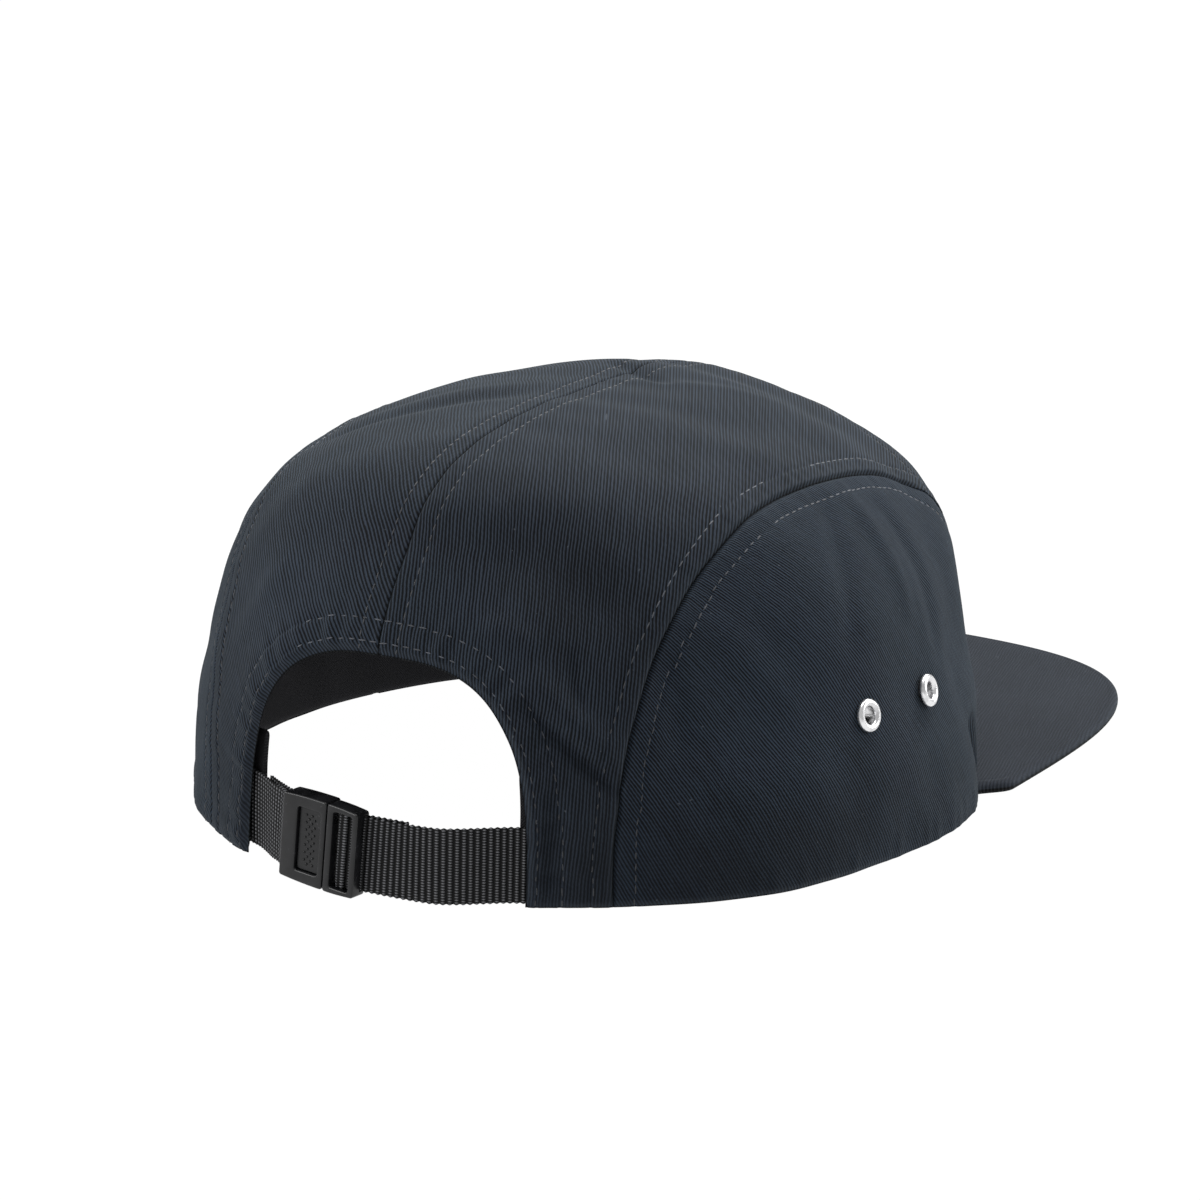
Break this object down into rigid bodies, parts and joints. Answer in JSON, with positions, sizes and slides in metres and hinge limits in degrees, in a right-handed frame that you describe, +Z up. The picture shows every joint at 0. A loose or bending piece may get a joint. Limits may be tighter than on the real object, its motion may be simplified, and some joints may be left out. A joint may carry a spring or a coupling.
{
  "type": "five panel cap",
  "caption": "Dark cotton twill cap with a soft crown of sewn panels, a flat peak, side eyelets and a webbing strap with a push-button buckle across the back opening.",
  "frame": {"origin": "on the surface that the rim stands on, under the middle of the whole cap's box", "axes": "+Z up; the peak points to -Y and the strap is at +Y; the wearer's right is toward -X"},
  "size_m": [0.177, 0.2646, 0.0955],
  "materials": {
    "cotton_twill": "worn dark navy cotton twill, matt, with a fine diagonal rib and grey-blue top stitching",
    "band_cloth": "plain black cotton band, matt",
    "webbing": "black ribbed polypropylene webbing, slight sheen",
    "black_plastic": "satin black moulded acetal",
    "nickel": "polished nickel plate"
  },
  "bodies": {
    "root": {"front_panel": "cotton_twill", "side_panel_right": "cotton_twill", "side_panel_left": "cotton_twill", "top_panel_right": "cotton_twill", "top_panel_left": "cotton_twill", "peak": "cotton_twill", "sweatband": "band_cloth", "strap_long": "webbing", "strap_short": "webbing", "buckle_socket": "black_plastic", "buckle_plug": "black_plastic", "eyelet_right_front": "nickel", "eyelet_right_back": "nickel", "eyelet_left_front": "nickel", "eyelet_left_back": "nickel"}
  },
  "joints": []
}
